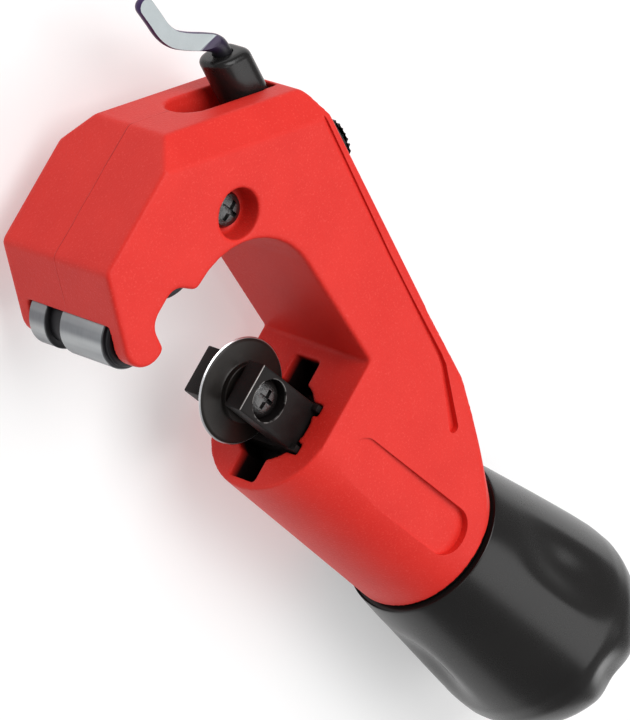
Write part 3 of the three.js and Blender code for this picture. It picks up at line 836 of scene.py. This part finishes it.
carriage = {
    "base": -26, "front": 15.4, "shank": 7.6, "armLow": 3.3, "armHigh": 4.6, "armReach": 8.5,
    "armTop": 0.8, "armEdge": 0.25, "shankTop": -6, "headBase": -8, "headHalf": 4.5,
    "headLow": -7.3, "headHigh": 7.2, "slotLow": -3.6, "slotHigh": 3.4, "slotReach": 11,
    # highlightWidth: width of the painted highlight along the near cheek's front edge
    "sink": 3.8, "sinkFloor": 4.6, "edge": 0.3, "highlightWidth": 0.17, "axleHole": 2.3,
    "screwSeat": 4.9, "spindleHole": 4.7, "spindleEnd": -9.6, "pinX": -14, "pinHole": 1.8,
}
wheel = {"x": 10.3, "z": -0.2, "groundFrom": 9.3}
wheelProfile = [
    (-2.9, 2.3), (-2.9, 4.2), (-2.7, 4.4), (-1.1, 4.4), (-0.85, 4.9), (-0.5, 8.7), (-0.36, 9.1),
    (-0.04, 9.5), (0.04, 9.5), (0.36, 9.1), (0.5, 8.7), (0.8, 5.6), (1, 5.3), (2, 5.3),
    (2.1, 5.2), (2.1, 3.9), (2.3, 3.8), (2.8, 3.8), (2.9, 3.7), (2.9, 2.3)]


def anyEdge(a, b):
    return True


def buildCarriage():
    base, front, half = carriage["base"], carriage["front"], carriage["headHalf"]
    low, high, reach = carriage["armLow"], carriage["armHigh"], carriage["armReach"]
    shank, top, edge, wide = carriage["shank"], carriage["shankTop"], carriage["edge"], 10
    profile = [(base, 0), (base, shank - 0.4), (base + 0.4, shank), (top - edge, shank),
               (top, shank - edge), (top, 0)]
    piece = turned("wheelCarriage", profile, at(0, 0), steps=96)
    head = block("head", at(carriage["headBase"], -half, carriage["headLow"]),
                 at(front, half, carriage["headHigh"]))
    bevelEdges(head, anyEdge, edge, 2)
    fuse(piece, head)
    for y0, y1 in ((low, high), (-high, -low)):
        arm = block("arm", at(base, y0, -reach), at(carriage["armTop"], y1, reach))
        bevelEdges(arm, anyEdge, carriage["armEdge"], 2)
        fuse(piece, arm)
    x, pinX = wheel["x"], carriage["pinX"]
    carve(
        piece,
        block("gap", at(x - carriage["slotReach"], -wide, carriage["slotLow"]),
              at(20, wide, carriage["slotHigh"])),
        rod("axleHole", at(x, 0, -wide), at(x, 0, wide), carriage["axleHole"]),
        rod("sink", at(x, 0, carriage["sinkFloor"]), at(x, 0, wide), carriage["sink"], 72),
        rod("spindleHole", at(base - 1, 0), at(carriage["spindleEnd"], 0),
            carriage["spindleHole"], 64),
        rod("pinHole", at(pinX, 0, -wide), at(pinX, 0, wide), carriage["pinHole"]),
    )
    return piece


recess = {"half": 0.42, "depth": 1.1}


# A domed cross-recess screw that faces +z, on a given point under its head.
def crossScrew(name, seat, shankEnd, head, shank, rise, span):
    dome = [(0, head - 0.15), (0.15, head), (rise * 0.45, head), (rise * 0.75, head * 0.86),
            (rise * 0.95, head * 0.5), (rise, 0)]
    piece = turned(name, [(0, shank), *dome, (shankEnd, 0), (shankEnd, shank - 0.2),
                          (shankEnd + 0.2, shank)], seat, alongZ, 72)
    top = seat + alongZ * (rise + 0.1) * mm
    for one, two in ((span, recess["half"]), (recess["half"], span)):
        reach = Vector((one, two, 0)) * mm
        low = top - reach - alongZ * recess["depth"] * mm
        carve(piece, block("cross", low, top + reach + alongZ * mm))
    return piece


oxide = blackOxide()
shinyOxide = blackOxide("shiny oxide", 0.1, 0.9, 0.06)
finishPiece(buildCarriage(), "carriage_group", carriageOxideWithHighlights(), ["carriage"])
axleScrew = crossScrew("wheelAxleScrew", at(wheel["x"], 0, carriage["screwSeat"]), shankEnd=-12,
                       head=3.3, shank=2, rise=1.4, span=1.8)
finishPiece(axleScrew, "carriage_group", shinyOxide, ["wheel_axle_screw"])
wheelCentre = at(wheel["x"], 0, wheel["z"])
cutter = turned("cuttingWheel", wheelProfile, wheelCentre, alongZ, 144)
finishPiece(cutter, "wheel", wheelSteel("wheel steel", wheelCentre, "XY"),
            ["cutting_wheel"])
clampScrew = crossScrew("clampScrew", inChannel(*channel["clamp"], channel["clampSeat"]),
                        shankEnd=-14, head=3.1, shank=1.6, rise=2.1, span=1.9)
finishPiece(clampScrew, "frame", shinyOxide, ["clamp_screw"])
print("carriage and screws built")


# Deburrer

slider = {"length": 36, "back": -4.5, "front": 3.5, "halfHeight": 3.8, "top": 7.4,
          "topRise": 0.28, "round": 3.6, "backRound": 2.6, "rim": 1.2, "holeFrom": -9.3,
          "holeGap": 0.2}
blade = {"radius": 1.6, "flat": 0.7, "flatFrom": 10, "runOut": 1.8,
         "path": [(-9, -0.8), (-3, -0.8), (3, -0.8), (7.6, -0.8), (9.6, -0.3), (11.6, 1.6),
                  (14, 4.3), (16.4, 6.5), (19, 7.6), (22, 8), (25, 8.4)]}
thumb = {"back": -6.5, "half": 6.9, "rise": 5.3, "halfWidth": 4.6, "foot": 0.5, "rib": 0.3,
         "pitch": 1.15, "edge": 0.22, "stemHalf": 4.8, "stemFront": -4.5, "stemSide": 2.1}


def buildSlider():
    back, front, high = slider["back"], slider["front"], slider["halfHeight"]
    corner, backCorner = slider["round"], slider["backRound"]
    outline = roundedCorners([(front, high, corner), (front, -high, corner),
                              (back, -high, backCorner), (back, high, backCorner)])
    start = -slider["length"]
    points = [Vector((start, l, z)) * mm for l, z in outline]
    pull = Vector((slider["length"] + slider["top"], 0, 0)) * mm
    piece = prism("deburrSlider", points, pull)
    reshape(piece, lambda p: p + Vector((slider["topRise"] * p.y, 0, 0)) if p.x > 0 else p)

    def onTop(a, b):
        return a.x > 0 and b.x > 0

    bevelEdges(piece, onTop, slider["rim"], 5)
    placeInChannel(piece)
    hole = inChannel(slider["holeFrom"], bladeLine), inChannel(20, bladeLine)
    carve(piece, rod("bladeHole", *hole, blade["radius"] + slider["holeGap"]))
    return piece


def buildBlade():
    curve = bpy.data.curves.new("deburrBlade", "CURVE")
    curve.dimensions = "3D"
    run = smoothRun(blade["path"], 6)
    spline = curve.splines.new("POLY")
    spline.points.add(len(run) - 1)
    for point, (h, l) in zip(spline.points, run):
        point.co = (*inChannel(h, l), 1)
    curve.bevel_depth = blade["radius"] * mm
    curve.bevel_resolution = 10
    curve.use_fill_caps = True
    piece = bpy.data.objects.new("deburrBlade", curve)
    bpy.context.collection.objects.link(piece)
    takeUp(piece)
    bpy.ops.object.convert(target="MESH")
    piece = bpy.context.object
    tip = inChannel(*blade["path"][-1])
    deselectAll()
    bpy.ops.mesh.primitive_uv_sphere_add(
        segments=44, ring_count=22, radius=blade["radius"] * mm * 0.995, location=tip)
    ball = bpy.context.object
    bpy.ops.object.transform_apply(location=True, rotation=True, scale=True)
    takeUp(piece)
    bpy.ops.object.mode_set(mode="EDIT")
    tidyNormals()
    fuse(piece, ball)
    start, flat, end = blade["flatFrom"], blade["flat"], 40
    rise, run = blade["radius"] - flat, blade["runOut"]
    curve = [(start + run * u, flat + rise * (1 - u) ** 2) for u in (0, 0.2, 0.4, 0.6, 0.8, 1)]
    outline = [(start, 3), *curve, (end, flat), (end, 3)]
    grinding = prism("grinding", [Vector((h, -8, z)) * mm for h, z in outline],
                     Vector((0, 24, 0)) * mm)
    placeInChannel(grinding)
    carve(piece, grinding)
    return piece


# An arched pad with grip ribs across it, on a stem through the slot.
def buildThumb():
    middleX, back, wide = channel["thumbX"], thumb["back"], thumb["halfWidth"]
    half, rise = thumb["half"], thumb["rise"]
    steps = 96
    outline = [(middleX - half, back), (middleX + half, back)]
    for i in range(steps + 1):
        u = 1 - 2 * i / steps
        arch = rise * (1 - abs(u) ** 3.2) + thumb["foot"]
        wave = math.cos(2 * math.pi * u * half / thumb["pitch"])
        rib = thumb["rib"] * max(0, 1 - abs(u) ** 6) * wave
        outline.append((middleX + u * half, back - arch - rib))
    points = [inChannel(*point, -wide) for point in outline]
    piece = prism("thumbButton", points, 2 * wide * mm * alongZ)
    low, high = inChannel(0, 0, -wide).z, inChannel(0, 0, wide).z

    def onRim(a, b):
        return abs(a.z - b.z) < 1e-7 and (abs(a.z - low) < 1e-6 or abs(a.z - high) < 1e-6)

    bevelEdges(piece, onRim, thumb["edge"], 2)
    reach, side = thumb["stemHalf"], thumb["stemSide"]
    stem = block("stem", Vector((middleX - reach, back - 1, -side)) * mm,
                 Vector((middleX + reach, thumb["stemFront"], side)) * mm)
    placeInChannel(stem)
    fuse(piece, stem)
    return piece


finishPiece(buildSlider(), "deburrer", black, ["deburr_slider"])
finishPiece(buildThumb(), "deburrer", black, ["thumb_button"])
finishPiece(buildBlade(), "blade", bladeSteel(), ["deburr_blade"])
print("deburrer built")


# Pieces whose frame shape is right keep it and get their finish

plainSteel = steel("plain steel", (0.34, 0.35, 0.37), (0.56, 0.58, 0.6), 0.3, (1, 1, 5))
brass = steel("turned brass", (0.52, 0.33, 0.10), (0.72, 0.50, 0.19), 0.26, (6, 1, 1))
spareSteel = wheelSteel("spare wheel steel", at(0, 0), "YZ")
keptFinishes = {
    "roller_pin_front": plainSteel, "roller_pin_rear": plainSteel,
    "feed_spindle": plainSteel, "spindle_pin": plainSteel, "spindle_stop_ring": plainSteel,
    "nut_retaining_pin_front": plainSteel, "nut_retaining_pin_rear": plainSteel,
    "blade_pin": plainSteel, "detent_spring": plainSteel, "spindle_nut": brass,
    "thrust_washer": oxide, "spare_wheel": spareSteel,
}
for name, material in keptFinishes.items():
    mesh = frame["nodes"][name].data
    mesh.materials.clear()
    mesh.materials.append(material)
print("inner pieces finished")


# Floor and light

studio = {"floor": 40, "floorColour": 0.55, "floorGlow": 0.42, "world": 0.28}
lights = [
    {"name": "key", "place": (0.48, -0.55, 1.15), "size": 1.0, "power": 15.5},
    {"name": "top", "place": (-0.6, -0.1, 1.05), "size": 0.9, "power": 5},
    {"name": "camera side", "place": (0.1, 0.5, 1.25), "size": 0.5, "power": 1},
]


def addStudio():
    deselectAll()
    bpy.ops.mesh.primitive_grid_add(x_subdivisions=8, y_subdivisions=8, size=studio["floor"])
    floor = bpy.context.object
    floor.name = "floor"
    finish = Finish("floor")
    cloud = finish.noise(400, 2)
    shade = studio["floorColour"]
    colour = finish.mix((shade, shade, shade), (shade * 1.02, shade * 1.02, shade * 1.02), cloud)
    floor.data.materials.append(finish.surface(
        Base_Color=colour, Roughness=0.9, Emission_Color=(1, 1, 1, 1),
        Emission_Strength=studio["floorGlow"]))
    world = bpy.data.worlds.new("studio")
    world.use_nodes = True
    background = world.node_tree.nodes["Background"]
    background.inputs["Color"].default_value = (1, 1, 1, 1)
    background.inputs["Strength"].default_value = studio["world"]
    bpy.context.scene.world = world
    target = Vector((0, 0, spindleAxis.z))
    for light in lights:
        deselectAll()
        place = Vector(light["place"])
        bpy.ops.object.light_add(type="AREA", location=place,
                                 rotation=(target - place).to_track_quat("-Z", "Y").to_euler())
        lamp = bpy.context.object
        lamp.name = light["name"]
        lamp.data.shape = "SQUARE"
        lamp.data.size = light["size"]
        lamp.data.energy = light["power"]
    bpy.context.scene.view_settings.view_transform = "Standard"


addStudio()
print("studio lit")
